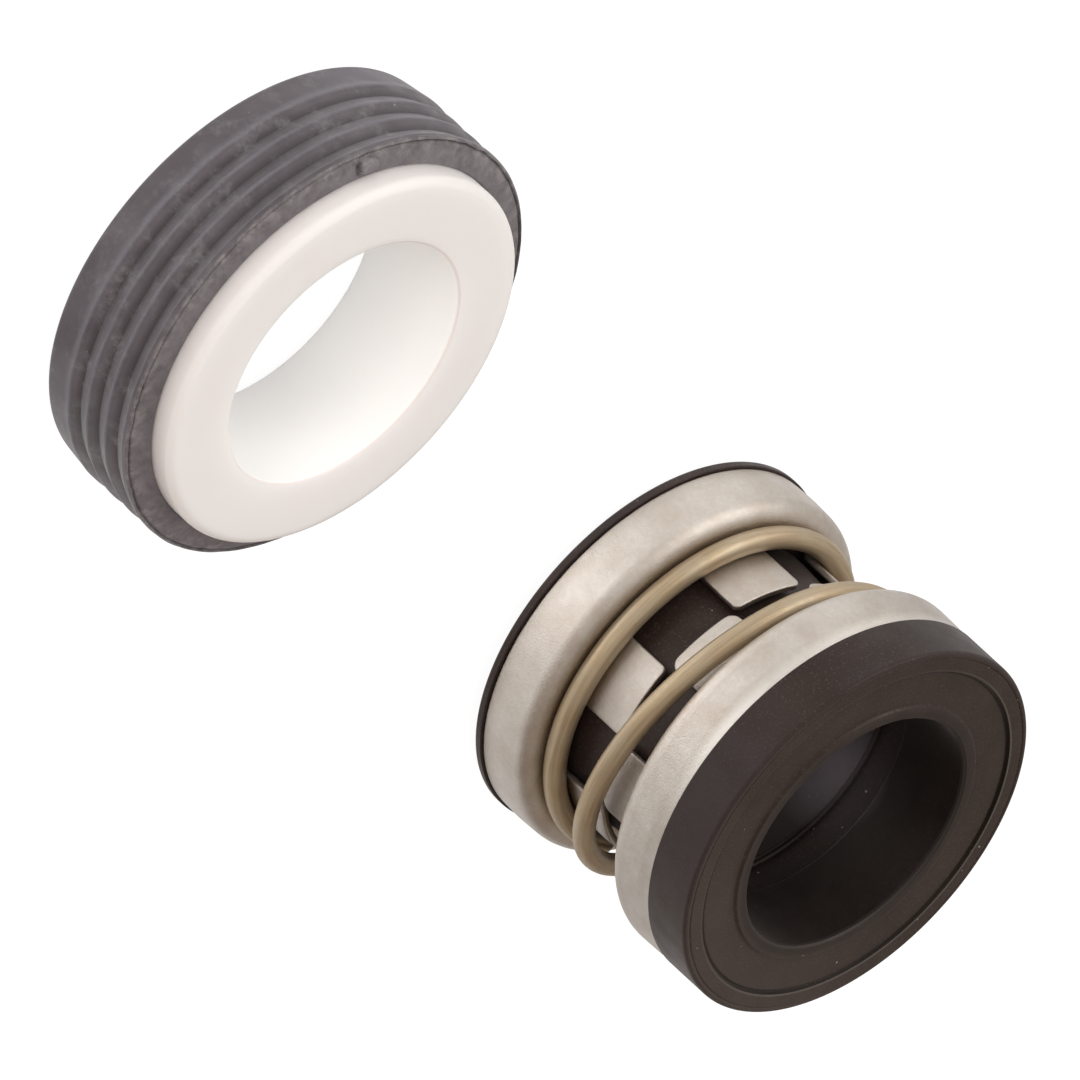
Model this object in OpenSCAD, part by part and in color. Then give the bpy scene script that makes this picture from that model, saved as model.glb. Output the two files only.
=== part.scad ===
// Mechanical shaft seal of the rubber bellows kind, in its two halves.
// The rotating head stands on its carbon running face with its axis on +Z through the origin.
// The stationary seat stands beside it on the rubber back of its cup, ceramic face up.
// Units are millimetres.

/* [Shaft] */
// Diameter of the shaft that both halves fit
shaft_d = 19.05; // [16:0.05:24]
// Radial squeeze of the rubber tail on the shaft
tail_grip = 0.125; // [0.05:0.005:0.25]
// Radial room between the shaft and the carbon ring
carbon_clear = 0.575; // [0.5:0.025:0.8]
// Radial room between the shaft and the ceramic ring
ceramic_clear = 0.175; // [0.1:0.025:0.5]

/* [Carbon ring] */
// Height of the raised running face
nose_h = 0.9; // [0.3:0.05:1.5]
// Radial width of the running face
nose_w = 2.5; // [1.6:0.1:2.8]

/* [Bellows] */
// Thickness of the bellows tube
tube_wall = 1.1; // [0.9:0.05:1.6]
// Radial room between the shaft and the bellows tube
tube_clear = 0.325; // [0.25:0.025:0.6]
// Depth of the relief behind the tail's grip
relief_h = 0.45; // [0.2:0.05:0.6]
// Length of that relief
relief_len = 2.95; // [1.5:0.05:3.5]
// Thickness of the rubber round the carbon
wrap_t = 0.7; // [0.5:0.05:1.1]
// Thickness of the rubber web behind the carbon
web_t = 0.6; // [0.4:0.05:1.2]
// Height of the rubber lip in front of the retainer
lip_h = 0.7; // [0.4:0.05:1.6]
// How far that lip stands out past the retainer
lip_step = 0.13; // [0:0.01:0.3]
// Depth of the waist in the bellows tube
waist_h = 0.3; // [0.1:0.05:0.45]

/* [Rubber tail] */
// Length of the tail beyond the drive band
tail_h = 3.95; // [2.8:0.05:6]
// Length of the bore that grips the shaft
grip_len = 6.35; // [4.5:0.05:7]
// Depth of the recessed ring in the tail's face
face_recess = 0.2; // [0.1:0.05:0.4]
// Radial width of the plain border round that recess
border_w = 1.55; // [0.9:0.05:2]
// Radial width of the raised lip round the bore
bore_lip_w = 0.95; // [0.6:0.05:1.3]

/* [Pressed steel] */
// Sheet thickness of the retainer and the drive band
metal_t = 0.5; // [0.35:0.05:0.6]
// Number of drive tabs on each
tabs = 6; // [4:1:8]
// Gap between neighbouring tabs once they mesh
tab_gap = 0.3; // [0.2:0.05:0.8]
// Room between the bellows tube and the tabs
tube_gap = 0.25; // [0.15:0.05:0.5]
// Angle of the retainer's first tab about the axis
tab_turn = 16.6; // [0:0.1:60]
// Height of the retainer from its edge to its shoulder
retainer_h = 4.45; // [3.8:0.05:6]
// Outside radius of the retainer's shoulder bend
fold_r = 1.2; // [0.9:0.05:1.6]
// Length of the retainer's tabs above its shoulder
retainer_tab = 4.9; // [3.8:0.05:5.4]
// Height of the drive band
band_h = 4.4; // [3.6:0.05:6]
// How far the drive band and the tail stand out past the retainer
band_step = 0.3; // [0:0.05:0.6]
// Outside radius of the drive band's shoulder bend
band_fold_r = 1.4; // [0.9:0.05:1.6]
// Corner radius of the retainer's tabs
retainer_tab_corner = 0.5; // [0.2:0.05:0.9]
// Corner radius of the drive band's tabs
band_tab_corner = 0.8; // [0.2:0.05:1.1]

/* [Spring] */
// Diameter of the wire
wire_d = 1.6; // [1.2:0.05:1.8]
// Free length of the spring between its two seats
spring_len = 9.25; // [8.6:0.05:11]
// Number of turns, with both closed ends
spring_turns = 2.1; // [1.9:0.05:2.2]
// Turn at which the wire leaves the retainer
rise_from = 0.78; // [0.7:0.01:0.85]
// Turn at which the wire reaches its other closed end
rise_to = 1.41; // [1.3:0.01:1.5]
// Angle at which the wire starts about the axis
wire_start = 290; // [0:1:359]
// How far the free middle of the coil bows out
coil_bow = 0.5; // [0:0.05:0.6]
// How much wider the closed end at the band is, in radius
coil_flare = 0.3; // [0:0.05:0.4]
// Room between the tabs and the coil
coil_gap = 0.1; // [0.05:0.05:0.3]

/* [Stationary seat] */
// Distance between the axes of the two halves
seat_off = 68; // [40:0.5:120]
// Diameter over the ribs of the rubber cup
cup_d = 33.7; // [33:0.1:36]
// Radial thickness of the rubber round the ceramic, over the ribs
cup_wall = 2.05; // [1.6:0.05:3]
// Height of the whole seat
seat_h = 11; // [10.2:0.1:14]
// Height of the cup at its outer edge
cup_h = 8.8; // [8.2:0.1:9.6]
// How much the cup's front face rises to the ceramic
cup_face_rise = 0.4; // [0:0.05:0.5]
// Thickness of the rubber behind the ceramic
cup_floor = 1.5; // [1:0.1:2.2]
// Radial width of that rubber back
cup_back_w = 2.6; // [2:0.1:4.2]
// Number of ribs round the cup
ribs = 4; // [2:1:5]
// Height of the first rib's middle
rib_first = 2.7; // [2.4:0.05:3]
// Height of the cup's front edge above the middle of the last rib
rib_last = 0.25; // [0.2:0.05:0.5]
// Depth of the grooves between the ribs
rib_h = 0.38; // [0.2:0.02:0.5]
// Width of each rib's flat crest
rib_land = 0.4; // [0.2:0.05:0.5]
// Rounding of the ceramic ring's outer edge
ceramic_round = 0.8; // [0.4:0.05:1]

/* [Hidden] */
$fn = 96;

// Small fits and edges
fit_gap = 0.05;
pocket_gap = 0.02;
edge_c = 0.2;
bore_c = 0.3;
tail_corner = 0.5;
cup_corner = 0.5;

// Radii of the head, from the shaft outwards
shaft_r = shaft_d / 2;
grip_r = shaft_r - tail_grip;
carbon_bore_r = shaft_r + carbon_clear;
tube_bore_r = shaft_r + tube_clear;
tube_r = tube_bore_r + tube_wall;
tab_in_r = tube_r + tube_gap;
tab_r = tab_in_r + metal_t;
coil_r = tab_r + coil_gap + wire_d / 2;
shell_r = coil_r + wire_d / 2 + fold_r;
rubber_r = shell_r - metal_t - fit_gap;
carbon_r = rubber_r - wrap_t - fit_gap;
lip_r = shell_r + lip_step;
band_r = shell_r + band_step;
band_rubber_r = band_r - metal_t - fit_gap;

// Heights of the head, from the running face up
lip_z = nose_h;
retainer_z = lip_z + lip_h;
shoulder_z = retainer_z + retainer_h;
web_z = shoulder_z - metal_t - fit_gap;
carbon_z = web_z - web_t;
band_z = shoulder_z + spring_len;
tail_z = band_z + band_h;
head_z = tail_z + tail_h;
grip_z = head_z - grip_len;

// Drive tabs: both sets share one circle and stand in each other's gaps
tab_deg = 180 / tabs - 180 * tab_gap / (PI * tab_in_r);
band_tab = spring_len - retainer_tab;

// Spring: places along the wire are in degrees
wire_r = wire_d / 2;
wire_end = 360 * spring_turns;
rise_a = 360 * rise_from;
rise_b = 360 * rise_to;
coil_z1 = shoulder_z + fit_gap + wire_r;
coil_z2 = band_z - fit_gap - wire_r;
coil_lean = 0.6;
wire_step = 5;
wire_sides = 14;

// Seat
ceramic_bore_r = shaft_r + ceramic_clear;
rib_r = cup_d / 2;
ceramic_r = rib_r - cup_wall;
groove_r = rib_r - rib_h;
pocket_r = ceramic_r + pocket_gap;
back_in_r = ceramic_r - cup_back_w;
rib_pitch = (cup_h - rib_last - rib_first) / (ribs - 1);

function smooth(u) = u <= 0 ? 0 : u >= 1 ? 1 : u * u * (3 - 2 * u);

// Height and radius of the wire's centre line at t degrees along it
function wire_z(t) = coil_z1
    + (coil_z2 - coil_lean - coil_z1) * smooth((t - rise_a) / (rise_b - rise_a))
    + coil_lean * smooth((t - rise_b) / (wire_end - rise_b));
function wire_rad(t) = let (u = smooth((t - rise_a) / (rise_b - rise_a)))
    coil_r + coil_flare * u + coil_bow * 4 * u * (1 - u);

// Outline of one side of a rib, as heights and radii from groove to crest
function rib_side(zc, side) = [for (k = side > 0 ? [0:4] : [0:5]) let (u = side > 0 ? 1 - k / 5 : k / 5)
    [groove_r + rib_h * smooth(u), zc + side * (rib_land + (rib_pitch - rib_land) * (1 - u)) / 2]];

// Block from the axis out to radius r, height h, with its upper outer corner rounded
module round_block(r, h, c) {
    square([r - c, h]);
    square([r, h - c]);
    translate([r - c, h - c]) circle(c);
}

// Curved plate of one tab, standing up from z = 0 at the angle 0, with rounded tip corners
module tab_plate(len, corner) {
    half_w = tab_r * sin(tab_deg / 2);
    intersection() {
        rotate([0, 0, -tab_deg / 2]) rotate_extrude(angle = tab_deg) {
            translate([tab_in_r, 0]) square([metal_t, len]);
            intersection() {
                translate([tab_in_r, -metal_t]) square(metal_t + fit_gap);
                translate([tab_r, 0]) circle(metal_t);
            }
        }
        rotate([90, 0, 90]) linear_extrude(tab_r + 1) {
            translate([-half_w, -metal_t]) square([2 * half_w, metal_t + len - corner]);
            translate([corner - half_w, 0]) square([2 * (half_w - corner), len]);
            for (s = [-1, 1]) translate([s * (half_w - corner), len - corner]) circle(corner);
        }
    }
}

// Pressed ring: a shoulder at z = 0, a wall of radius r and height h below it and tabs above it
module pressed_ring(r, h, fold, tab_len, corner, turn) {
    rotate_extrude() difference() {
        translate([0, -h]) round_block(r, h, fold);
        translate([0, -h - 1]) round_block(r - metal_t, h + 1 - metal_t, fold - metal_t);
        translate([0, -h]) square([tab_r, h + 1]);
        translate([r, -h]) rotate(45) square(edge_c * sqrt(2), center = true);
    }
    for (i = [0:tabs - 1]) rotate([0, 0, turn + i * 360 / tabs]) tab_plate(tab_len, corner);
}

// Carbon ring with its raised running face down
module primary_ring() {
    color([0.16, 0.16, 0.17]) rotate_extrude() {
        difference() {
            translate([carbon_bore_r, nose_h]) square([carbon_r - carbon_bore_r, carbon_z - nose_h]);
            translate([carbon_r, nose_h]) rotate(45) square(edge_c * sqrt(2), center = true);
            translate([carbon_bore_r, carbon_z]) rotate(45) square(edge_c * sqrt(2), center = true);
        }
        translate([carbon_bore_r, 0]) square([nose_w, nose_h + edge_c]);
    }
}

// Retainer: the pressed steel cup round the carbon
module retainer() {
    color([0.83, 0.81, 0.78]) translate([0, 0, shoulder_z])
        pressed_ring(shell_r, retainer_h, fold_r, retainer_tab, retainer_tab_corner, tab_turn);
}

// Drive band: the pressed steel ring round the tail, its tabs between those of the retainer
module drive_band() {
    color([0.83, 0.81, 0.78]) translate([0, 0, band_z]) mirror([0, 0, 1])
        pressed_ring(band_r, band_h, band_fold_r, band_tab, band_tab_corner, tab_turn + 180 / tabs);
}

// Rubber bellows in one moulding: cup round the carbon, lip, web, tube and thick tail
module bellows() {
    inner_fold = fold_r - metal_t + fit_gap;
    band_floor = band_z + metal_t + fit_gap;
    waist_r = (spring_len * spring_len / 4 + waist_h * waist_h) / (2 * waist_h);
    color([0.24, 0.22, 0.22]) rotate_extrude() difference() {
        union() {
            translate([0, lip_z]) square([lip_r, lip_h - fit_gap]);
            translate([0, lip_z]) round_block(rubber_r, web_z - lip_z, inner_fold);
            translate([0, web_z - 0.1]) square([tube_r, band_z - web_z + 1]);
            translate([0, tail_z]) mirror([0, 1]) round_block(band_rubber_r, tail_z - band_floor, band_fold_r);
            translate([0, tail_z]) round_block(band_r, tail_h, tail_corner);
        }
        intersection() {
            translate([tube_r - waist_h + waist_r, shoulder_z + spring_len / 2]) circle(waist_r, $fn = 360);
            translate([tube_bore_r, shoulder_z]) square([2 * tube_wall, spring_len]);
        }
        square([carbon_r + fit_gap, carbon_z]);
        square([tube_bore_r, grip_z]);
        translate([0, grip_z - relief_len]) square([tube_bore_r + relief_h, relief_len]);
        square([grip_r, head_z + 1]);
        polygon([[0, head_z - bore_c], [grip_r, head_z - bore_c], [grip_r + bore_c, head_z],
            [grip_r + bore_c, head_z + 1], [0, head_z + 1]]);
        translate([grip_r + bore_lip_w, head_z - face_recess])
            square([band_r - border_w - grip_r - bore_lip_w, 1]);
    }
}

// Coil spring of round wire, left-hand, with a closed turn at each end
module spring() {
    rings = floor(wire_end / wire_step);
    points = [for (i = [0:rings]) let (t = wire_end * i / rings, a = wire_start - t)
        for (j = [0:wire_sides - 1]) let (b = 360 * j / wire_sides + 90, r = wire_rad(t) + wire_r * cos(b))
            [r * cos(a), r * sin(a), wire_z(t) + wire_r * sin(b)]];
    last = rings * wire_sides;
    sides = [for (i = [0:rings - 1]) for (j = [0:wire_sides - 1])
        let (k = i * wire_sides + j, n = i * wire_sides + (j + 1) % wire_sides)
            [k, n, n + wire_sides, k + wire_sides]];
    ends = [[for (j = [wire_sides - 1:-1:0]) j], [for (j = [0:wire_sides - 1]) last + j]];
    color([0.72, 0.66, 0.54]) polyhedron(points, concat(sides, ends), convexity = 8);
}

// Rubber cup of the seat, ribbed outside, with a back under the ceramic
module seat_cup() {
    outside = concat(
        [for (a = [-90:18:0]) [groove_r - cup_corner + cup_corner * cos(a), cup_corner + cup_corner * sin(a)]],
        [for (i = [0:ribs - 1]) let (zc = rib_first + i * rib_pitch)
            each concat(rib_side(zc, -1), i < ribs - 1 ? rib_side(zc, 1) : [])]);
    color([0.36, 0.34, 0.34]) translate([-seat_off, 0, 0]) rotate_extrude() polygon(concat(
        [[back_in_r, cup_floor], [back_in_r, edge_c], [back_in_r + edge_c, 0]],
        outside,
        [[rib_r, cup_h - edge_c], [rib_r - edge_c, cup_h],
            [pocket_r, cup_h + cup_face_rise], [pocket_r, cup_floor]]));
}

// Ceramic ring of the seat, its running face up
module seat_ring() {
    color([0.94, 0.92, 0.9]) translate([-seat_off, 0, cup_floor]) rotate_extrude() difference() {
        round_block(ceramic_r, seat_h - cup_floor, ceramic_round);
        translate([0, -1]) square([ceramic_bore_r, seat_h + 1]);
        for (z = [0, seat_h - cup_floor])
            translate([ceramic_bore_r, z]) rotate(45) square(edge_c * sqrt(2), center = true);
        translate([ceramic_r, 0]) rotate(45) square(2 * edge_c * sqrt(2), center = true);
    }
}

primary_ring();
retainer();
bellows();
spring();
drive_band();
seat_cup();
seat_ring();
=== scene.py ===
import math

import bpy
import numpy as np
from mathutils import Matrix, Vector


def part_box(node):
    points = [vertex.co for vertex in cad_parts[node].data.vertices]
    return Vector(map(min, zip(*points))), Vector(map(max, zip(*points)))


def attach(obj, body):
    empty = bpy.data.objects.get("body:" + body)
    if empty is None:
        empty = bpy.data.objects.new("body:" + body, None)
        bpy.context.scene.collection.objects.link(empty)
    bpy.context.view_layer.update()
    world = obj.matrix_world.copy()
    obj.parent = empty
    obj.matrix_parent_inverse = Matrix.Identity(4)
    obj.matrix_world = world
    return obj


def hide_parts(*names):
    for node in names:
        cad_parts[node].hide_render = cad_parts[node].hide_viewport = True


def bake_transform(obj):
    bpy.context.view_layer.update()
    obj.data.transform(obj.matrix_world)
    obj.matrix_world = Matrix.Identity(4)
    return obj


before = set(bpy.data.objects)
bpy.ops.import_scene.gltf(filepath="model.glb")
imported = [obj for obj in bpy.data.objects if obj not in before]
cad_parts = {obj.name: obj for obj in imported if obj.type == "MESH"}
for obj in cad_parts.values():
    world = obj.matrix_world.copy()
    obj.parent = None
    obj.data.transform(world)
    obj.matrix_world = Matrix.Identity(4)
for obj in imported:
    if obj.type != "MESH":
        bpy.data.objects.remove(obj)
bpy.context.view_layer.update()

# Lengths are written in millimetres, apart from those of the lamps, and MM turns them into metres
MM = 0.001

# Sizes shared with the part's source
SHELL_T = 0.5
FOLD_R = 1.2
BAND_FOLD_R = 1.4
TUBE_R = 10.95
TUBE_BORE_R = 9.85
GRIP_R = 9.4
GRIP_LEN = 6.35
RELIEF_H = 0.45
RELIEF_LEN = 2.95
LIP_STEP = 0.13
LIP_TOP = 1.55
WEB_LOW = 4.9
WEB_TOP = 5.5
FIT_GAP = 0.05
WAIST = 0.3
FACE_RECESS = 0.2
BORDER_W = 1.55
BORE_LIP_W = 0.95
SHOULDER_Z = 6.05
BAND_Z = 15.3
TABS = 6
TAB_R = 11.7
TAB_TURN = 16.6
TAB_HALF_W = 2.86
TAB_CORNER = 0.5
BAND_TAB_CORNER = 0.8
WIRE_D = 1.6
COIL_R = 12.6
WIRE_START = 290
WIRE_TURNS = 2.1
RISE_FROM = 0.78
RISE_TO = 1.41
COIL_FLARE = 0.3
COIL_BOW = 0.5
COIL_LEAN = 0.6
NOSE_H = 0.9
NOSE_W = 2.5
CARBON_BORE_R = 10.1
CUP_FLOOR = 1.5
CUP_BACK_W = 2.6
CUP_H = 8.8
CUP_FACE_RISE = 0.4
RIBS = 4
RIB_FIRST = 2.7
RIB_LAST = 0.25
RIB_H = 0.38
CUP_CORNER = 0.5
POCKET_GAP = 0.02
CERAMIC_BORE_R = 9.7

# Sizes of the scene alone: rounding of a sheared edge, radius of a tab's bend, and where the gate's mark
# stands, by its angle and its distance in from the ribs
SHEET_EDGE = 0.13
TAB_BEND = 0.5
GATE_ANGLE = math.radians(137.3)
GATE_IN = 1.08

# Camera: a long lens at the angle between the line of sight and the seal's axis
VIEW_TILT = 58.3
VIEW_ROLL = 132.55
LENS_MM = 1600
DISTANCE = 3243 * MM
AIM = Vector((-4.7, 0.15, -7.6)) * MM

# Place between the two halves that the lamps are aimed at
LAMP_AIM = Vector((-30, 0, 10)) * MM


def span(node):
    """Centre (x, y), outside radius, lowest and highest point of a round CAD node, in millimetres."""
    low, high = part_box(node)
    centre = (low + high) / 2 / MM
    return (centre.x, centre.y), (high.y - low.y) / 2 / MM, low.z / MM, high.z / MM


def arc_path(corners, closed=True, steps=7):
    """Points (radius, height) through corners (radius, height, rounding), each rounding drawn as an arc."""
    points = []
    count = len(corners)
    for k, (r, z, c) in enumerate(corners):
        here = np.array((r, z), float)
        if c == 0 or (not closed and k in (0, count - 1)):
            points.append(here)
            continue
        before = np.array(corners[k - 1][:2], float) - here
        after = np.array(corners[(k + 1) % count][:2], float) - here
        before /= np.linalg.norm(before)
        after /= np.linalg.norm(after)
        half = math.acos(max(-1.0, min(1.0, float(before @ after)))) / 2
        middle = (before + after) / np.linalg.norm(before + after)
        centre = here + middle * c / math.sin(half)
        start = here + before * c / math.tan(half) - centre
        end = here + after * c / math.tan(half) - centre
        sweep = math.atan2(start[0] * end[1] - start[1] * end[0], float(start @ end))
        for i in range(steps + 1):
            a = sweep * i / steps
            turn = np.array(((math.cos(a), -math.sin(a)), (math.sin(a), math.cos(a))))
            points.append(centre + turn @ start)
    return np.array(points)


def spaced(points, closed=True, guard=0.05, longest=0.7):
    """Adds points along straight runs: one close to each end, so that shading stays flat, and even ones."""
    made = []
    count = len(points)
    for k in range(count if closed else count - 1):
        a, b = points[k], points[(k + 1) % count]
        made.append(a)
        length = float(np.linalg.norm(b - a))
        if length < 4 * guard:
            continue
        inner = [guard / length, 1 - guard / length]
        pieces = max(1, round(length / longest))
        made += [a + (b - a) * (inner[0] + (inner[1] - inner[0]) * i / pieces) for i in range(pieces + 1)]
    if not closed:
        made.append(points[-1])
    return np.array(made)


def waves(angles, seed, low, high):
    """Smooth, repeatable unevenness round the axis, about -1 to 1, with low to high waves a turn."""
    draw = np.random.default_rng(seed)
    total = np.zeros_like(angles)
    for n in range(low, high + 1):
        total += np.sin(n * angles + draw.uniform(0, 2 * math.pi)) * draw.uniform(0.4, 1)
    return total / math.sqrt(0.3 * (high - low + 1)) / 1.6


def new_object(name, points, faces, material, angle=50):
    """A smooth-shaded mesh object from points in millimetres, its faces turned outwards."""
    mesh = bpy.data.meshes.new(name)
    mesh.from_pydata((np.asarray(points) * MM).tolist(), [], faces)
    mesh.update()
    mesh.shade_smooth()
    mesh.set_sharp_from_angle(angle=math.radians(angle))
    mesh.materials.append(material)
    obj = bpy.data.objects.new(name, mesh)
    bpy.context.scene.collection.objects.link(obj)
    return obj


def ring_faces(rows, columns, closed_rows=True):
    """Quads over a grid of rows by columns that closes round its columns.

    They face outwards where the outline runs counter-clockwise.
    """
    faces = []
    for i in range(rows if closed_rows else rows - 1):
        n = (i + 1) % rows
        for j in range(columns):
            m = (j + 1) % columns
            faces.append((i * columns + j, i * columns + m, n * columns + m, n * columns + j))
    return faces


def revolved(name, outline, material, centre=(0, 0), columns=288, uneven=None):
    """Solid of revolution about the upright axis through centre. uneven varies radii and heights by angle."""
    angles = np.arange(columns) * 2 * math.pi / columns
    r = np.repeat(outline[:, :1], columns, axis=1)
    z = np.repeat(outline[:, 1:], columns, axis=1)
    if uneven:
        r, z = uneven(r, z, np.broadcast_to(angles, r.shape))
    points = np.stack((centre[0] + r * np.cos(angles), centre[1] + r * np.sin(angles), z), axis=-1)
    return new_object(name, points.reshape(-1, 3), ring_faces(len(outline), columns), material)


def pressed_ring(name, corners, tab_len, tab_corner, first, place, material):
    """Pressed sheet-steel ring with drive tabs, every sheared edge rounded.

    corners run along the middle of the sheet from the rim to a tab's tip. place turns a height above the
    shoulder into a height on the head, and first is the angle of the first tab.
    """
    edge = SHEET_EDGE
    half_t = SHELL_T / 2
    tab_columns, gap_columns = 22, 18
    path = spaced(arc_path(corners, closed=False, steps=8), closed=False)
    tab_r = corners[-1][0]
    half_w = TAB_HALF_W - edge
    tip = tab_len - edge
    corner = tab_corner - edge
    bend_r = tab_r + corners[-2][2]
    notch = next(i for i, p in enumerate(path) if p[0] < bend_r + 1e-6)
    rows = [(p[0], p[1], half_w, 1.0, 0.0) for p in path if p[1] < tip - corner or p[0] > bend_r + 1e-6]
    for k in range(6):
        a = math.radians(90 * k / 5)
        rows.append((tab_r, tip - corner + corner * math.sin(a), half_w - corner + corner * math.cos(a),
                     math.cos(a), math.sin(a)))

    radii = np.array([row[0] for row in rows])
    heights = np.array([row[1] for row in rows])
    along = np.stack((np.gradient(radii), np.gradient(heights)), axis=1)
    along[len(path) - 1:] = (0, 1)
    along /= np.linalg.norm(along, axis=1, keepdims=True)

    middles, normals, outs = [], [], []

    def add(row, angle, out_along, out_round):
        """One point of the middle surface, with its normal and the way out of the sheet in its own plane."""
        c, s = math.cos(angle), math.sin(angle)
        dr, dz = along[row]
        middles.append((radii[row] * c, radii[row] * s, heights[row]))
        normals.append((dz * c, dz * s, -dr))
        outs.append((out_along * dr * c - out_round * s, out_along * dr * s + out_round * c, out_along * dz))
        return len(middles) - 1

    pitch = 2 * math.pi / TABS
    tab_half = half_w / radii[notch]
    full = []
    for i in range(notch + 1):
        line = []
        for k in range(TABS):
            centre = math.radians(first) + k * pitch
            spots = [-tab_half + 2 * tab_half * c / tab_columns for c in range(tab_columns + 1)]
            spots += [tab_half + (pitch - 2 * tab_half) * g / gap_columns for g in range(1, gap_columns)]
            for n, spot in enumerate(spots):
                on_notch = i == notch and (n == 0 or n >= tab_columns)
                round_way = {0: -1, tab_columns: 1}.get(n, 0) if on_notch else 0
                line.append(add(i, centre + spot, -1 if i == 0 else 1 if on_notch else 0, round_way))
        full.append(line)
    per_tab = tab_columns + gap_columns
    grids = []
    for k in range(TABS):
        centre = math.radians(first) + k * pitch
        grid = [full[notch][k * per_tab:k * per_tab + tab_columns + 1]]
        for i in range(notch + 1, len(rows)):
            width, out_round, out_along = rows[i][2:]
            line = []
            for c in range(tab_columns + 1):
                side = {0: -1, tab_columns: 1}.get(c, 0)
                last = i == len(rows) - 1
                line.append(add(i, centre + width / radii[i] * (2 * c / tab_columns - 1),
                                out_along if side else 1.0 if last else 0.0, side * out_round))
            grid.append(line)
        grids.append(grid)

    middles, normals, outs = (np.array(v) for v in (middles, normals, outs))
    count = len(middles)
    points = [middles + normals * half_t, middles - normals * half_t]
    faces = []

    def quad(a, b, c, d):
        faces.append((a, b, c, d))
        faces.append((d + count, c + count, b + count, a + count))

    columns = len(full[0])
    for i in range(notch):
        for j in range(columns):
            m = (j + 1) % columns
            quad(full[i][j], full[i][m], full[i + 1][m], full[i + 1][j])
    for grid in grids:
        for i in range(len(grid) - 1):
            for c in range(tab_columns):
                quad(grid[i][c], grid[i][c + 1], grid[i + 1][c + 1], grid[i + 1][c])

    rim = full[0]
    inner = []
    for k, grid in enumerate(grids):
        inner += [line[0] for line in grid]
        inner += grid[-1][1:-1]
        inner += [line[-1] for line in reversed(grid)]
        inner += full[notch][k * per_tab + tab_columns + 1:(k + 1) * per_tab]
    base = 2 * count
    for loop, forward in ((rim, True), (inner, False)):
        size = len(loop)
        rings = [np.array(loop)]
        for angle in (30, 60, 90, 90.001, 120, 150):
            a = math.radians(angle)
            height = (half_t - edge) * (1 if angle <= 90 else -1) + edge * math.cos(a)
            points.append(middles[loop] + outs[loop] * edge * math.sin(a) + normals[loop] * height)
            rings.append(np.arange(base, base + size))
            base += size
        rings.append(np.array(loop) + count)
        for q in range(len(rings) - 1):
            for j in range(size):
                m = (j + 1) % size
                face = (rings[q][j], rings[q + 1][j], rings[q + 1][m], rings[q][m])
                faces.append(tuple(int(v) for v in (face if forward else face[::-1])))
    points = np.concatenate(points)
    flipped = place(1) < place(0)
    points[:, 2] = place(points[:, 2])
    if flipped:
        faces = [face[::-1] for face in faces]
    return new_object(name, points, faces, material)


def smooth(u):
    """0 up to 0, 1 from 1 on, and an even S-curve between."""
    return 0 if u <= 0 else 1 if u >= 1 else u * u * (3 - 2 * u)


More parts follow.
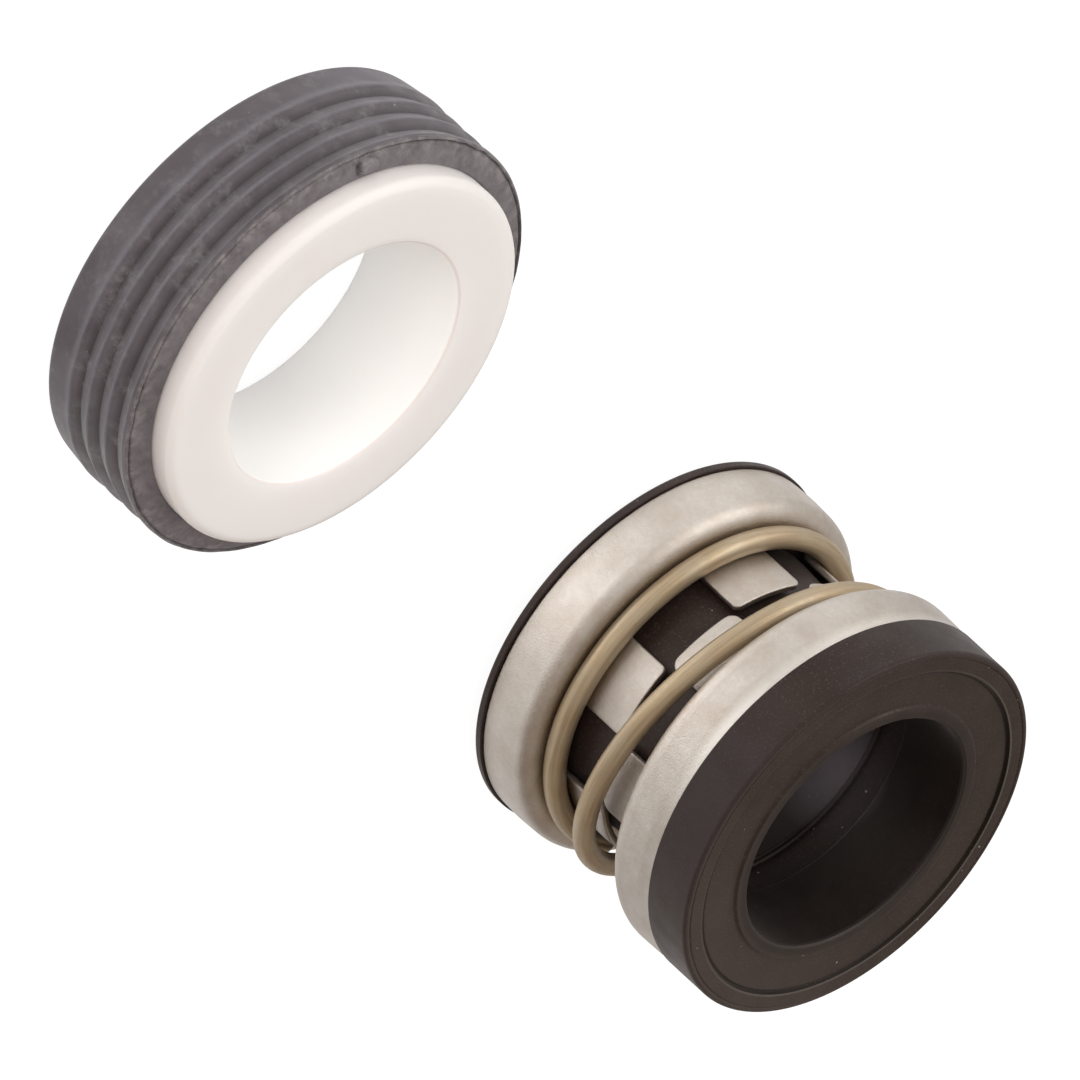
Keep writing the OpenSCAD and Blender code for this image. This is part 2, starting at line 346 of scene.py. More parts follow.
class Nodes:
    """Short ways to lay out the nodes of a material or of the world."""

    def __init__(self, tree):
        self.tree = tree

    def add(self, kind, inputs=(), **settings):
        """A node with its settings, and its inputs either linked from a socket or set to a value."""
        node = self.tree.nodes.new(kind)
        for key, value in settings.items():
            setattr(node, key, value)
        for key, value in dict(inputs).items():
            if isinstance(value, bpy.types.NodeSocket):
                self.tree.links.new(value, node.inputs[key])
            else:
                node.inputs[key].default_value = value
        return node

    def place(self, centre=(0, 0)):
        """Place on the object in millimetres, from the axis through centre."""
        spot = self.add("ShaderNodeTexCoord").outputs["Object"]
        inputs = {"Vector": spot, "Location": (-centre[0], -centre[1], 0), "Scale": (1 / MM,) * 3}
        return self.add("ShaderNodeMapping", inputs).outputs["Vector"]

    def noise(self, vector, scale, detail=3.0, roughness=0.5):
        """Cloudy noise, 0 to 1, with scale clouds to a millimetre."""
        inputs = {"Vector": vector, "Scale": scale, "Detail": detail, "Roughness": roughness}
        return self.add("ShaderNodeTexNoise", inputs).outputs["Fac"]

    def band(self, value, low, high, out_low=0.0, out_high=1.0):
        """value from low to high becomes out_low to out_high, and stays there outside."""
        inputs = {"Value": value, "From Min": low, "From Max": high, "To Min": out_low, "To Max": out_high}
        return self.add("ShaderNodeMapRange", inputs).outputs["Result"]

    def maths(self, operation, a, b, c=0.5):
        return self.add("ShaderNodeMath", {0: a, 1: b, 2: c}, operation=operation).outputs["Value"]

    def times(self, a, b):
        return self.maths("MULTIPLY", a, b)

    def line(self, value, middle, half_width):
        """1 where value is within half_width of middle, 0 elsewhere."""
        return self.maths("COMPARE", value, middle, half_width)

    def vector_maths(self, operation, a, b=(0, 0, 0), result="Vector"):
        return self.add("ShaderNodeVectorMath", {0: a, 1: b}, operation=operation).outputs[result]

    def mix(self, share, a, b):
        """Colour a where share is 0, colour b where it is 1."""
        node = self.add("ShaderNodeMix", data_type="RGBA")
        for key, value in (("Factor", share), ("A", a), ("B", b)):
            socket = next(s for s in node.inputs if s.name == key and s.enabled)
            if isinstance(value, bpy.types.NodeSocket):
                self.tree.links.new(value, socket)
            else:
                socket.default_value = value if key == "Factor" else (*value, 1)
        return next(s for s in node.outputs if s.name == "Result" and s.enabled)

    def radius(self, vector):
        """Distance from the upright axis."""
        return self.vector_maths("LENGTH", self.vector_maths("MULTIPLY", vector, (1, 1, 0)), result="Value")

    def axes(self, vector):
        """The X, Y and Z of a vector."""
        outputs = self.add("ShaderNodeSeparateXYZ", {0: vector}).outputs
        return outputs["X"], outputs["Y"], outputs["Z"]

    def dots(self, vector, scale, size, share):
        """Small round dots, 1 inside: one to a cell of a scattered grid, in that share of the cells."""
        cells = self.add("ShaderNodeTexVoronoi", {"Vector": vector, "Scale": scale, "Randomness": 1.0})
        inside = self.band(cells.outputs["Distance"], size * scale * 0.6, size * scale, 1, 0)
        pick = self.add("ShaderNodeSeparateColor", {"Color": cells.outputs["Color"]}).outputs["Red"]
        return self.times(inside, self.maths("LESS_THAN", pick, share))

    def bump(self, height, depth, strength, after=None):
        """Normal of a fine relief, depth millimetres deep, on top of the one in after."""
        inputs = {"Height": height, "Distance": depth * MM, "Strength": strength}
        if after is not None:
            inputs["Normal"] = after
        return self.add("ShaderNodeBump", inputs).outputs["Normal"]


class Surface(Nodes):
    """A material of one Principled shader. Values that are the same all over are set on its sockets."""

    def __init__(self, name, colour, roughness, **values):
        self.material = bpy.data.materials.new(name)
        self.material.use_nodes = True
        super().__init__(self.material.node_tree)
        self.shader = self.tree.nodes["Principled BSDF"]
        self.shader.inputs["Base Color"].default_value = (*colour, 1)
        self.shader.inputs["Roughness"].default_value = roughness
        for key, value in values.items():
            self.shader.inputs[key.replace("_", " ")].default_value = value

    def into(self, **sockets):
        """Links sockets to the shader's inputs of the same names and gives the finished material."""
        for key, value in sockets.items():
            self.tree.links.new(value, self.shader.inputs[key.replace("_", " ")])
        return self.material


def bellows_rubber():
    """Brown-black rubber with dust and specks, with painted shade and a painted reflection in its bore and
    painted light on its tail.
    """
    _, tail_r, _, top = span("bellows")
    _, _, _, band_top = span("drive_band")
    border_r = tail_r - BORDER_W
    n = Surface("bellows_rubber", (0.1, 0.085, 0.08), 0.5, Specular_IOR_Level=0.38,
                Specular_Tint=(1, 0.84, 0.76, 1), Sheen_Weight=0.08, Sheen_Roughness=0.4,
                Sheen_Tint=(1, 0.9, 0.85, 1))
    spot = n.place()
    reach = n.radius(spot)
    x, y, z = n.axes(spot)
    cloud = n.noise(spot, 0.22, 4)
    colour = n.mix(n.band(cloud, 0.35, 0.65), (0.012, 0.006, 0.0045), (0.0185, 0.0108, 0.009))
    dust = n.noise(spot, 5.5, 2, 0.6)
    colour = n.mix(n.band(dust, 0.56, 0.76, 0, 0.22), colour, (0.16, 0.145, 0.145))
    specks = n.maths("MAXIMUM", n.dots(spot, 0.42, 0.1, 0.5), n.dots(spot, 0.9, 0.06, 0.35))
    colour = n.mix(n.times(specks, 0.75), colour, (0.48, 0.45, 0.43))

    # Painted light: the tail's wall is painted a little paler towards -Y
    painted_pale_side = n.times(n.band(y, -13, -3, 0.2, 0), n.band(z, band_top - 0.7, band_top + 0.3))
    colour = n.mix(painted_pale_side, colour, (0.1, 0.082, 0.076))

    # Along the step of the face's raised border run painted shade in the groove and a painted highlight on
    # the edge, stronger towards +X
    strength = n.times(n.band(z, band_top - 0.5, band_top - 0.3), n.band(x, -8, 6, 0.15, 1))
    for r, half_width, share, tone in ((border_r - 0.12, 0.14, 0.85, (0.003, 0.002, 0.0015)),
                                       (border_r + 0.07, 0.07, 0.6, (0.1, 0.088, 0.08))):
        line = n.times(n.line(reach, r, half_width), strength)
        colour = n.mix(n.times(line, share), colour, tone)

    # The bore has a painted highlight on its edge at the face, painted shade on its wall, and a painted
    # reflection round one place deep inside
    edge = n.times(n.band(reach, GRIP_R + 0.08, GRIP_R + 0.16, 0.6, 0), n.band(z, top - 0.45, top - 0.3))
    colour = n.mix(edge, colour, (0.11, 0.098, 0.092))
    inside = n.band(reach, TUBE_BORE_R + 0.05, TUBE_BORE_R + 0.55, 1, 0)
    colour = n.mix(n.times(inside, 0.75), colour, (0.003, 0.0017, 0.0013))
    from_painted_reflection = n.vector_maths("DISTANCE", spot, (9.9, 2.5, 13.2), "Value")
    colour = n.mix(n.times(n.band(from_painted_reflection, 0.8, 5, 0.9, 0), inside), colour, (0.16, 0.135, 0.155))

    scuffs = n.band(n.noise(spot, 0.12, 2), 0.42, 0.65, 0, 0.7)
    wall = n.times(n.band(reach, tail_r - 0.5, tail_r - 0.1), scuffs)
    colour = n.mix(wall, colour, (0.021, 0.0162, 0.0182))
    grain = n.bump(n.noise(spot, 7, 4, 0.65), 0.012, 0.6)
    rough = n.band(n.noise(spot, 0.6, 3), 0.3, 0.7, 0.44, 0.56)
    return n.into(Base_Color=colour, Roughness=rough, Normal=n.bump(specks, 0.02, 0.5, grain))


def cup_rubber():
    """Grey rubber with painted shade in its grooves, crests paled by wear and a painted highlight, dusty and
    stained on its front.
    """
    centre, rib_r, _, _ = span("seat_cup")
    gate_r = rib_r - GATE_IN
    gate_spot = (gate_r * math.cos(GATE_ANGLE), gate_r * math.sin(GATE_ANGLE), CUP_H + 0.3)
    n = Surface("cup_rubber", (0.17, 0.155, 0.16), 0.6, Specular_IOR_Level=0.45, Sheen_Weight=0.28,
                Sheen_Roughness=0.45, Sheen_Tint=(0.95, 0.93, 1, 1))
    spot = n.place(centre)
    reach = n.radius(spot)
    _, _, height = n.axes(spot)
    front = n.band(height, CUP_H - 0.1, CUP_H)
    face = n.band(height, CUP_H - 0.1, CUP_H + 0.05)
    side = n.band(height, CUP_H - 0.1, CUP_H, 1, 0)
    scuff = n.noise(spot, 2.4, 5, 0.7)
    cloud = n.noise(spot, 0.3, 5, 0.6)
    colour = n.mix(n.band(cloud, 0.35, 0.68), (0.066, 0.055, 0.064), (0.102, 0.087, 0.098))

    # Painted shade darkens the grooves between the ribs
    groove_shade = n.times(n.band(reach, rib_r - RIB_H + 0.02, rib_r - 0.45 * RIB_H, 0.85, 0),
                    n.band(height, RIB_FIRST + 0.3, RIB_FIRST + 0.6))
    colour = n.mix(n.times(groove_shade, side), colour, (0.03, 0.023, 0.025))
    # The ribs' crests are paler, partly from wear and partly a painted highlight
    crest_wear_and_highlight = n.times(n.band(reach, rib_r - 0.09, rib_r - 0.02), n.band(scuff, 0.25, 0.6, 0.5, 0.9))
    ribbed = n.band(height, CUP_H - 0.45, CUP_H - 0.3, 1, 0)
    colour = n.mix(n.times(crest_wear_and_highlight, ribbed), colour, (0.15, 0.145, 0.165))
    flash = n.times(n.line(reach, rib_r - 0.27, 0.09), n.band(height, CUP_H - 0.15, CUP_H - 0.05, 0, 0.5))
    colour = n.mix(flash, colour, (0.03, 0.02, 0.018))
    dust = n.band(n.noise(spot, 1.1, 4, 0.7), 0.35, 0.65, 0.1, 0.75)
    colour = n.mix(n.times(face, dust), colour, (0.16, 0.143, 0.148))

    # A painted shadow, a dark crescent, lies on one side of the gate's mark
    from_gate = n.vector_maths("SUBTRACT", spot, gate_spot)
    aside = n.vector_maths("DOT_PRODUCT", from_gate, (-0.9, -0.43, 0), "Value")
    painted_gate_shadow = n.times(n.line(n.radius(from_gate), 0.86, 0.13), n.band(aside, 0.1, 0.5, 0, 0.85))
    colour = n.mix(n.times(painted_gate_shadow, front), colour, (0.022, 0.016, 0.015))

    # Pale stains lie towards the front's outer edge, and pale patches all over
    outer = n.times(n.band(reach, rib_r - 1.5, rib_r - 0.5), face)
    stains = n.band(n.noise(spot, 0.9, 4, 0.65), 0.48, 0.62, 0, 0.6)
    colour = n.mix(n.times(outer, stains), colour, (0.26, 0.235, 0.235))
    patches = n.times(n.band(n.noise(spot, 0.5, 4, 0.65), 0.5, 0.68, 0, 0.5), n.band(scuff, 0.35, 0.6))
    colour = n.mix(patches, colour, (0.2, 0.19, 0.2))
    specks = n.maths("MAXIMUM", n.dots(spot, 0.35, 0.09, 0.4), n.dots(spot, 0.8, 0.05, 0.3))
    colour = n.mix(n.times(specks, 0.6), colour, (0.5, 0.48, 0.47))

    lumps = n.times(n.noise(spot, 1.3, 3, 0.6), n.band(height, CUP_H - 0.15, CUP_H, 0.15, 1))
    normal = n.bump(n.noise(spot, 6.5, 4, 0.7), 0.035, 0.7, n.bump(lumps, 0.035, 0.8))
    return n.into(Base_Color=colour, Roughness=n.band(scuff, 0.3, 0.7, 0.52, 0.66), Normal=normal)


def ceramic():
    """White alumina that lets light in, with painted shade towards its outer edge and at the edge of its
    bore, and its bore painted whiter.
    """
    centre, outer_r, _, _ = span("seat_ring")
    n = Surface("ceramic", (0.8, 0.77, 0.75), 0.5, Specular_IOR_Level=0.4, IOR=1.6, Subsurface_Weight=0.8,
                Subsurface_Radius=(1.0, 0.94, 0.9), Subsurface_Scale=3 * MM)
    spot = n.place(centre)
    reach = n.radius(spot)
    cloud = n.noise(spot, 0.12, 3)
    colour = n.mix(n.band(cloud, 0.35, 0.65), (0.81, 0.78, 0.778), (0.815, 0.795, 0.788))
    # Painted shade on the outer rounding, darker and pinker towards the edge
    colour = n.mix(n.band(reach, outer_r - 0.85, outer_r - 0.2, 0, 0.5), colour, (0.7, 0.65, 0.63))
    # Painted shade on the bore's rounded edge
    painted_bore_edge_shade = n.band(reach, CERAMIC_BORE_R + 0.14, CERAMIC_BORE_R + 0.24, 1, 0)
    colour = n.mix(painted_bore_edge_shade, colour, (0.74, 0.66, 0.64))
    # The bore's wall is whiter, partly its own fired finish and partly painted light
    bore_finish_and_painted_light = n.band(reach, CERAMIC_BORE_R + 0.01, CERAMIC_BORE_R + 0.06, 1, 0)
    colour = n.mix(bore_finish_and_painted_light, colour, (0.925, 0.91, 0.9))
    colour = n.mix(n.times(n.dots(spot, 0.25, 0.07, 0.25), 0.5), colour, (0.5, 0.44, 0.4))
    rough = n.band(n.noise(spot, 1.1, 4), 0.3, 0.7, 0.46, 0.56)
    return n.into(Base_Color=colour, Roughness=rough, Normal=n.bump(n.noise(spot, 5, 3, 0.6), 0.006, 0.5))


def pressed_steel():
    """Satin stainless sheet, mottled, with polish and a painted highlight at the band's rim and painted shade
    at the retainer's edge.
    """
    _, _, edge_z, _ = span("retainer")
    _, _, _, rim_z = span("drive_band")
    n = Surface("pressed_steel", (0.8, 0.765, 0.72), 0.33, Metallic=1.0)
    spot = n.place()
    _, y, z = n.axes(spot)
    cloud = n.noise(spot, 0.35, 4, 0.6)
    colour = n.mix(n.band(cloud, 0.35, 0.65), (0.54, 0.475, 0.415), (0.62, 0.57, 0.52))
    mottle = n.noise(spot, 2.6, 6, 0.8)
    colour = n.mix(n.band(mottle, 0.45, 0.75, 0, 0.4), colour, (0.45, 0.38, 0.32))
    colour = n.mix(n.band(mottle, 0.45, 0.3, 0, 0.25), colour, (0.74, 0.71, 0.68))
    # The band's rim is lighter: partly polish, mostly a painted highlight, strongest near y = -2 to 0
    rim_polish_and_highlight = n.times(n.band(y, -9, -2, 0.1, 0.85), n.band(y, 0, 5, 1, 0.45))
    rim = n.band(z, rim_z - 1.1, rim_z - 0.4)
    colour = n.mix(n.times(rim, rim_polish_and_highlight), colour, (0.9, 0.87, 0.82))
    # Painted shade: darker towards the retainer's rim
    colour = n.mix(n.band(z, edge_z + 0.3, edge_z + 1.4, 0.35, 0), colour, (0.4, 0.34, 0.29))
    rough = n.band(n.noise(spot, 3.5, 5, 0.75), 0.3, 0.7, 0.3, 0.46)
    return n.into(Base_Color=colour, Roughness=rough, Normal=n.bump(n.noise(spot, 7.5, 4, 0.75), 0.045, 0.9))


def spring_wire():
    """Drawn wire with a tan cast, its fine lines running along the wire."""
    n = Surface("spring_wire", (0.6, 0.5, 0.36), 0.3, Metallic=0.64, Specular_IOR_Level=0.3)
    spot = n.place()
    wire = n.add("ShaderNodeAttribute", attribute_type="GEOMETRY", attribute_name="along_wire")
    lines = n.noise(wire.outputs["Vector"], 4.2, 4, 0.6)
    colour = n.mix(n.band(lines, 0.3, 0.7), (0.34, 0.25, 0.155), (0.5, 0.395, 0.265))
    colour = n.mix(n.band(n.noise(spot, 0.4, 3), 0.4, 0.7, 0, 0.5), colour, (0.45, 0.385, 0.29))
    rough = n.band(n.noise(spot, 3, 4), 0.3, 0.7, 0.36, 0.5)
    normal = n.bump(n.noise(spot, 7, 3), 0.008, 0.5, n.bump(lines, 0.02, 0.7))
    return n.into(Base_Color=colour, Roughness=rough, Normal=normal)


def carbon():
    """Dark grey carbon with faint rings from lapping."""
    n = Surface("carbon", (0.05, 0.05, 0.052), 0.4, Specular_IOR_Level=0.6)
    spot = n.place()
    grain = n.noise(spot, 3.5, 5, 0.7)
    colour = n.mix(n.band(grain, 0.35, 0.7), (0.035, 0.035, 0.037), (0.075, 0.075, 0.078))
    rings = n.add("ShaderNodeTexWave", {"Vector": spot, "Scale": 3.0, "Distortion": 1.5},
                  wave_type="RINGS", rings_direction="Z").outputs["Fac"]
    rough = n.band(grain, 0.3, 0.7, 0.32, 0.48)
    return n.into(Base_Color=colour, Roughness=rough, Normal=n.bump(rings, 0.003, 0.4))


def bellows(material):
    """The rubber moulding: cup round the carbon, lip, web, waisted tube and the thick tail."""
    _, tail_r, low, top = span("bellows")
    _, carbon_r, _, _ = span("primary_ring")
    _, shell_r, _, _ = span("retainer")
    _, _, _, tail_z = span("drive_band")
    lip_r = shell_r + LIP_STEP
    wrap_r = shell_r - SHELL_T - FIT_GAP
    band_wrap_r = tail_r - SHELL_T - FIT_GAP
    pocket_r = carbon_r + FIT_GAP
    band_floor = BAND_Z + SHELL_T + FIT_GAP
    grip_z = top - GRIP_LEN
    border_r = tail_r - BORDER_W
    bore_lip_r = GRIP_R + BORE_LIP_W
    seam_r, seam_w, seam_h = tail_r - 0.48, 0.07, 0.07
    outline = arc_path([
        (pocket_r, low, 0.12), (lip_r, low, 0.22), (lip_r, LIP_TOP, 0.08), (wrap_r, LIP_TOP, 0),
        (wrap_r, WEB_TOP, 0.75), (TUBE_R, WEB_TOP, 0), (TUBE_R, SHOULDER_Z, 0),
        (TUBE_R - WAIST, (SHOULDER_Z + BAND_Z) / 2, 12), (TUBE_R, BAND_Z, 0), (TUBE_R, band_floor, 0),
        (band_wrap_r, band_floor, 0.9), (band_wrap_r, tail_z, 0), (tail_r, tail_z, 0.1), (tail_r, top, 0.28),
        (seam_r + seam_w, top, 0), (seam_r, top - seam_h, 0), (seam_r - seam_w, top, 0),
        (border_r, top, 0.06), (border_r - 0.1, top - FACE_RECESS - 0.12, 0.06),
        (border_r - 0.32, top - FACE_RECESS, 0.1),
        (bore_lip_r + 0.14, top - FACE_RECESS, 0.1), (bore_lip_r, top, 0.14), (GRIP_R + 0.16, top, 0.08),
        (GRIP_R, top - 0.16, 0.08), (GRIP_R, grip_z, 0.08),
        (TUBE_BORE_R + RELIEF_H, grip_z, 0.15), (TUBE_BORE_R + RELIEF_H, grip_z - RELIEF_LEN, 0.3),
        (TUBE_BORE_R, grip_z - RELIEF_LEN, 0.15), (TUBE_BORE_R, WEB_LOW, 0.1), (pocket_r, WEB_LOW, 0)])
    obj = revolved("rubber_bellows", spaced(outline), material, columns=320)
    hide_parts("bellows")
    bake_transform(obj)


def retainer(material):
    """Pressed cup round the carbon, with a rounded shoulder and six tabs."""
    _, shell_r, low, tip = span("retainer")
    wall_r = shell_r - SHELL_T / 2
    mid_r = TAB_R - SHELL_T / 2
    rim = low - SHOULDER_Z + SHEET_EDGE
    tab_len = tip - SHOULDER_Z
    corners = [
        (wall_r - 0.05, rim, 0), (wall_r + 0.02, rim + 1.5, 15),
        (wall_r - 0.09, -SHELL_T / 2, FOLD_R - SHELL_T / 2), (mid_r, -SHELL_T / 2, TAB_BEND),
        (mid_r, tab_len, 0)]
    obj = pressed_ring("retainer_shell", corners, tab_len, TAB_CORNER, TAB_TURN,
                       lambda z: z + SHOULDER_Z, material)
    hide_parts("retainer")
    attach(obj, "head_front")


def drive_band(material):
    """Pressed ring round the tail, crimped in at its rim, its tabs between those of the retainer."""
    _, shell_r, tip, top = span("drive_band")
    wall_r = shell_r - SHELL_T / 2
    mid_r = TAB_R - SHELL_T / 2
    tab_len = BAND_Z - tip
    corners = [
        (wall_r - 0.2, BAND_Z - top + SHEET_EDGE, 0), (wall_r - 0.04, BAND_Z - top + 1.1, 3),
        (wall_r + 0.03, -SHELL_T / 2, BAND_FOLD_R - SHELL_T / 2), (mid_r, -SHELL_T / 2, TAB_BEND),
        (mid_r, tab_len, 0)]
    obj = pressed_ring("drive_band_shell", corners, tab_len, BAND_TAB_CORNER, TAB_TURN + 180 / TABS,
                       lambda z: BAND_Z - z, material)
    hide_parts("drive_band")
    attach(obj, "head_tail")


def spring(material):
    """Left-hand coil of round wire with a closed turn at each end, drawn along its centre line."""
    wire_r = WIRE_D / 2
    low = SHOULDER_Z + FIT_GAP + wire_r
    high = BAND_Z - FIT_GAP - wire_r
    end = 360 * WIRE_TURNS
    rise_a, rise_b = 360 * RISE_FROM, 360 * RISE_TO
    rings, sides = 300, 30
    bevel, bevel_turn = 0.15, 0.7
    stretch = 0.04
    points, along, shares = [], [], []
    for i in range(-1, rings + 2):
        inner = min(max(i, 0), rings)
        t = end * inner / rings
        size = wire_r if 0 <= i <= rings else wire_r - bevel
        if i in (0, rings):
            t += bevel_turn if i == 0 else -bevel_turn
        u = smooth((t - rise_a) / (rise_b - rise_a))
        radius = COIL_R + COIL_FLARE * u + COIL_BOW * 4 * u * (1 - u)
        z = low + (high - COIL_LEAN - low) * u + COIL_LEAN * smooth((t - rise_b) / (end - rise_b))
        a = math.radians(WIRE_START - t)
        for j in range(sides):
            b = 2 * math.pi * j / sides
            r = radius + size * math.cos(b)
            points.append((r * math.cos(a), r * math.sin(a), z + size * math.sin(b)))
            along.append((math.radians(t) * radius * stretch, math.cos(b) * wire_r, math.sin(b) * wire_r))
            shares.append(smooth((z - low) / (high - low)))
    count = rings + 3
    faces = ring_faces(count, sides, closed_rows=False)
    faces = [face[::-1] for face in faces]
    faces.append(tuple(range(sides))[::-1])
    faces.append(tuple(range((count - 1) * sides, count * sides)))
    obj = new_object("coil_spring", points, faces, material)
    attribute = obj.data.attributes.new("along_wire", "FLOAT_VECTOR", "POINT")
    attribute.data.foreach_set("vector", np.array(along, np.float32).ravel())
    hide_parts("spring")
    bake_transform(obj)
    # The share of each cross-section's centre is made into an array here but not stored on the mesh
    np.array(shares, np.float32)


def primary_ring(material):
    """Carbon ring with its raised running face."""
    _, carbon_r, _, top = span("primary_ring")
    nose_r = CARBON_BORE_R + NOSE_W
    outline = arc_path([
        (CARBON_BORE_R, 0, 0.05), (nose_r, 0, 0.05), (nose_r, NOSE_H, 0.1), (carbon_r - 0.2, NOSE_H, 0.06),
        (carbon_r, NOSE_H + 0.2, 0.06), (carbon_r, top, 0.1), (CARBON_BORE_R + 0.2, top, 0.06),
        (CARBON_BORE_R, top - 0.2, 0.06)])
    obj = revolved("carbon_ring", spaced(outline), material)
    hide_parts("primary_ring")
    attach(obj, "head_front")


def seat_cup(material):
    """Ribbed rubber cup with a thin rough flash line round its front and the small mark of its gate."""
    centre, rib_r, low, _ = span("seat_cup")
    _, ceramic_r, _, _ = span("seat_ring")
    groove_r = rib_r - RIB_H
    back_in_r = ceramic_r - CUP_BACK_W
    pocket_r = ceramic_r + POCKET_GAP
    pitch = (CUP_H - RIB_LAST - RIB_FIRST) / (RIBS - 1)
    corners = [
        (pocket_r, CUP_FLOOR, 0), (back_in_r, CUP_FLOOR, 0), (back_in_r, low, 0.2),
        (groove_r, low, CUP_CORNER)]
    for i in range(RIBS):
        z = RIB_FIRST + i * pitch
        corners.append((rib_r, z, 0.28))
        if i < RIBS - 1:
            corners.append((groove_r, z + pitch / 2, 0.1))
    flash_r = rib_r - 0.24
    corners[-1] = (rib_r, z - 0.1, 0.3)
    corners += [
        (rib_r, CUP_H, 0.2), (flash_r + 0.16, CUP_H + 0.08, 0.06), (flash_r + 0.08, CUP_H + 0.15, 0.03),
        (flash_r - 0.02, CUP_H - 0.1, 0.04), (flash_r - 0.18, CUP_H + 0.1, 0.06),
        (pocket_r + 0.1, CUP_H + CUP_FACE_RISE, 0.08), (pocket_r, CUP_H + CUP_FACE_RISE - 0.12, 0.05)]
    outline = arc_path(corners)

    def uneven(r, z, angles):
        """Ragged flash line on the front, and ribs whose crests are slightly worn."""
        front = np.clip((z - CUP_H + 0.15) / 0.1, 0, 1) * np.exp(-((r - flash_r) / 0.08) ** 2)
        ragged = waves(angles, 7, 5, 60) + 0.6 * waves(angles, 8, 60, 110)
        crest = np.clip((r - groove_r - 0.2) / 0.1, 0, 1)
        r = r + front * 0.05 * ragged - crest * 0.012 * (1 + waves(angles + z * 0.7, 9, 3, 40))
        z = z + front * 0.04 * waves(angles, 10, 8, 90)
        return r, z

    obj = revolved("rubber_cup", spaced(outline), material, centre, columns=480, uneven=uneven)
    nub = gate_mark(centre, rib_r - GATE_IN, material)
    joined([obj, nub])
    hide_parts("seat_cup")
    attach(obj, "seat")


def gate_mark(centre, radius, material):
    """Small oval dome left by the mould's gate on the cup's front face."""
    axis_r, foot = 0.001, -0.3
    outline = arc_path([
        (axis_r, foot, 0), (0.74, foot, 0), (0.74, 0.2, 0.12), (0.6, 0.48, 0.14), (axis_r, 0.38, 0)])
    obj = revolved("gate_mark", spaced(outline), material, columns=32)
    turn = Matrix.Rotation(GATE_ANGLE, 4, "Z") @ Matrix.Diagonal((0.8, 1.15, 1, 1))
    spot = (centre[0] + radius * math.cos(GATE_ANGLE), centre[1] + radius * math.sin(GATE_ANGLE), CUP_H + 0.2)
    obj.data.transform(Matrix.Translation(Vector(spot) * MM) @ turn)
    return obj


def joined(objects):
    """Joins the meshes into the first object."""
    for obj in bpy.context.selected_objects:
        obj.select_set(False)
    for obj in objects:
        obj.select_set(True)
    bpy.context.view_layer.objects.active = objects[0]
    bpy.ops.object.join()


def seat_ring(material):
    """White ceramic ring: lapped face, soft outer edge and chamfered bore."""
    centre, ceramic_r, low, top = span("seat_ring")
    chamfer = 0.2
    outline = arc_path([
        (CERAMIC_BORE_R + chamfer, low, 0.06), (ceramic_r - 0.4, low, 0.06), (ceramic_r, low + 0.4, 0.06),
        (ceramic_r, top, 0.65), (CERAMIC_BORE_R, top, 0.24),
        (CERAMIC_BORE_R, low + chamfer, 0.06)], steps=10)
    obj = revolved("ceramic_ring", spaced(outline), material, centre, columns=360)
    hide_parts("seat_ring")
    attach(obj, "seat")


def floor():
    """Plain floor that keeps the object's shadow and shows white to the camera.

    Mirrored rays find it brighter near the object, and brighter still in four directions, as if soft boxes
    stood far below. That glow goes by the ray's direction in the world and lights no other surface.
    """
    n = Surface("floor", (0.85, 0.85, 0.85), 0.9, Specular_IOR_Level=0.0)
    path = n.add("ShaderNodeLightPath").outputs
    seen = n.maths("MAXIMUM", path["Is Camera Ray"], path["Is Transmission Ray"])
    mirrored = path["Is Glossy Ray"]
    pool = n.band(n.radius(n.place((-30, 4))), 12, 55, 0.55, 0.16)
    came_from = n.add("ShaderNodeNewGeometry").outputs["Incoming"]
    for way, share in (((0.84, 0.07, 0.53), 0.52), ((0.06, -0.85, 0.53), 0.45), ((0.42, 0.05, 0.9), 1.5),
                       ((0.97, 0.05, 0.22), 0.9)):
        facing = n.vector_maths("DOT_PRODUCT", came_from, way, "Value")
        pool = n.maths("ADD", pool, n.band(facing, 0.9, 0.99, 0, share))
    n.shader.inputs["Emission Color"].default_value = (1, 1, 1, 1)
    glow = n.maths("ADD", n.times(seen, 0.59), n.times(mirrored, pool))
    tone = n.mix(n.maths("MAXIMUM", seen, mirrored), (0.5, 0.49, 0.48), (0.22, 0.22, 0.22))
    n.into(Emission_Strength=n.maths("ADD", glow, 0.33), Base_Color=tone)

    sides, radius, height = 96, 600 * MM, -0.02 * MM
    turns = [2 * math.pi * k / sides for k in range(sides)]
    ring = [(radius * math.cos(turn), radius * math.sin(turn), height) for turn in turns]
    mesh = bpy.data.meshes.new("floor")
    mesh.from_pydata(ring, [], [tuple(range(sides))])
    mesh.materials.append(n.material)
    obj = bpy.data.objects.new("floor", mesh)
    bpy.context.scene.collection.objects.link(obj)


def camera():
    """Long lens at the photograph's angle, rolled so that the seal's axis runs down to the right."""
    tilt, roll = math.radians(VIEW_TILT), math.radians(VIEW_ROLL)
    back = Vector((-math.sin(tilt), 0, math.cos(tilt)))
    upright = Vector((math.cos(tilt), 0, math.sin(tilt)))
    level = upright.cross(back)
    up = math.cos(roll) * upright - math.sin(roll) * level
    right = math.cos(roll) * level + math.sin(roll) * upright
    data = bpy.data.cameras.new("camera")
    data.lens = LENS_MM
    data.sensor_width = 36
    obj = bpy.data.objects.new("camera", data)
    bpy.context.scene.collection.objects.link(obj)
    turn = Matrix((right, up, back)).transposed().to_4x4()
    obj.matrix_world = Matrix.Translation(AIM + back * DISTANCE) @ turn
    bpy.context.scene.camera = obj


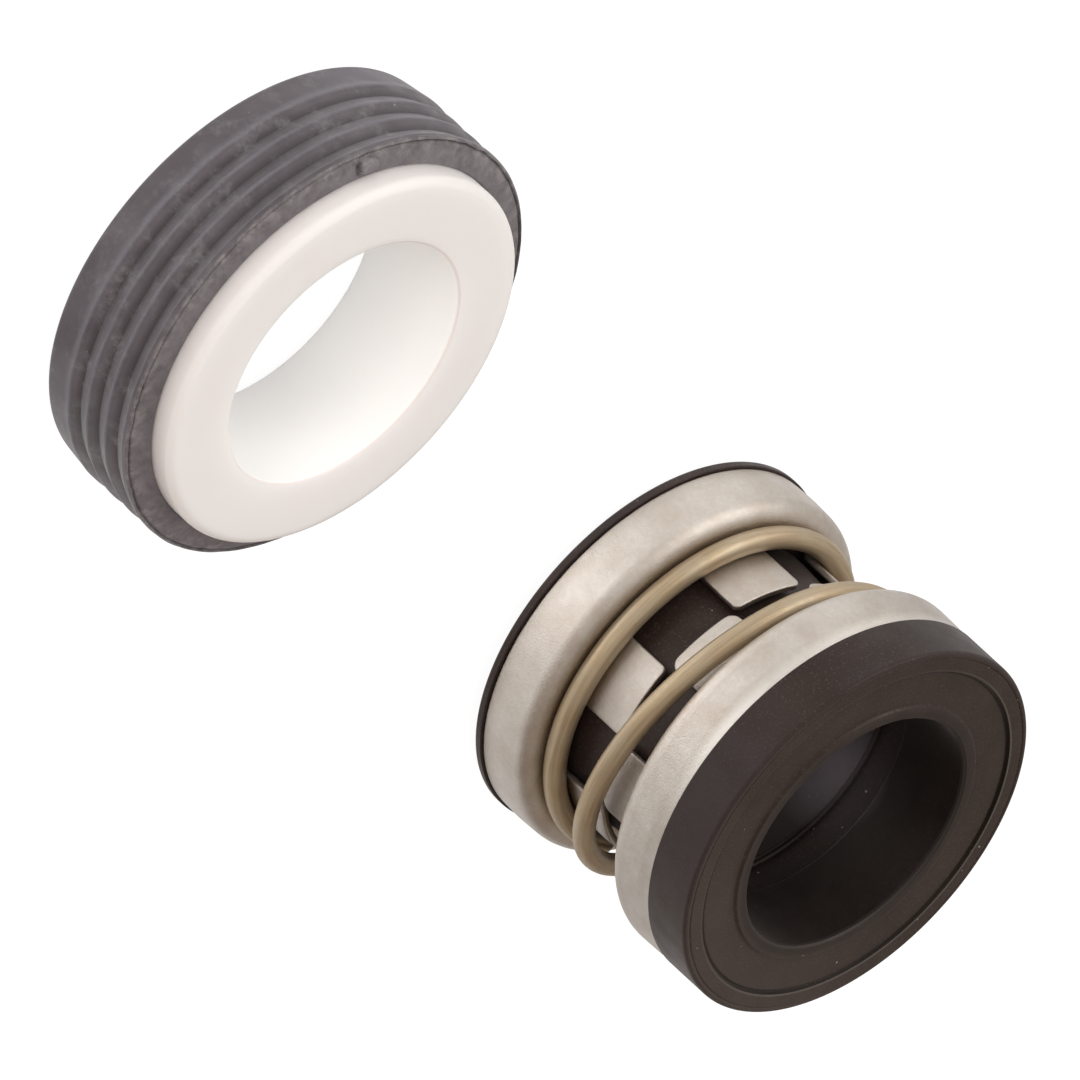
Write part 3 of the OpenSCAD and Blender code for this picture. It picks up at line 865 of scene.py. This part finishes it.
def lamp(name, direction, distance, size, power, colour, mirrored=True):
    """Soft square area lamp, its distance and size in metres, that mirrored rays find or miss."""
    data = bpy.data.lights.new(name, "AREA")
    data.shape = "SQUARE"
    data.size = size
    data.energy = power
    data.color = colour
    obj = bpy.data.objects.new(name, data)
    bpy.context.scene.collection.objects.link(obj)
    way = Vector(direction).normalized()
    obj.location = LAMP_AIM + way * distance
    obj.rotation_mode = "QUATERNION"
    obj.rotation_quaternion = way.to_track_quat("Z", "Y")
    obj.visible_camera = False
    obj.visible_glossy = mirrored


def lights():
    """Studio surround, bright from one side and warm and dim from the other, with three soft lamps.

    The camera sees it white, and mirrored rays find one more soft box low in it.
    """
    world = bpy.data.worlds.new("studio")
    world.use_nodes = True
    n = Nodes(world.node_tree)
    way = n.add("ShaderNodeTexCoord").outputs["Generated"]
    path = n.add("ShaderNodeLightPath").outputs

    bright_side = Vector((-0.25, 0.75, 0.6)).normalized()
    turned = n.band(n.vector_maths("DOT_PRODUCT", way, bright_side, "Value"), -0.9, 0.9)
    surround = n.add("ShaderNodeValToRGB", {"Fac": turned})
    tones = surround.color_ramp.elements
    tones[0].color = (0.2, 0.15, 0.115, 1)
    tones[1].color = (0.85, 0.84, 0.82, 1)
    tones.new(0.5).color = (0.42, 0.355, 0.3, 1)

    low_box = Vector((-0.97, -0.16, 0.17)).normalized()
    extra = n.band(n.vector_maths("DOT_PRODUCT", way, low_box, "Value"), 0.93, 0.985, 0, 1.5)
    background = n.tree.nodes["Background"]
    colour = n.mix(path["Is Camera Ray"], surround.outputs["Color"], (1, 1, 1))
    n.tree.links.new(colour, background.inputs["Color"])
    strength = n.maths("MULTIPLY_ADD", extra, path["Is Glossy Ray"], 1)
    n.tree.links.new(strength, background.inputs["Strength"])
    bpy.context.scene.world = world

    lamp("key", (-0.15, 0.85, 0.45), 0.9, 0.5, 2.4, (1, 0.985, 0.965))
    lamp("front", (-0.93, -0.22, 0.38), 0.9, 0.5, 3.7, (1, 0.985, 0.97), mirrored=False)
    lamp("top", (0.4, 0.2, 1.0), 0.9, 0.6, 0.7, (0.98, 0.99, 1))


bpy.context.scene.view_settings.view_transform = "Standard"
steel = pressed_steel()
camera()
lights()
floor()
primary_ring(carbon())
retainer(steel)
bellows(bellows_rubber())
spring(spring_wire())
drive_band(steel)
seat_cup(cup_rubber())
seat_ring(ceramic())
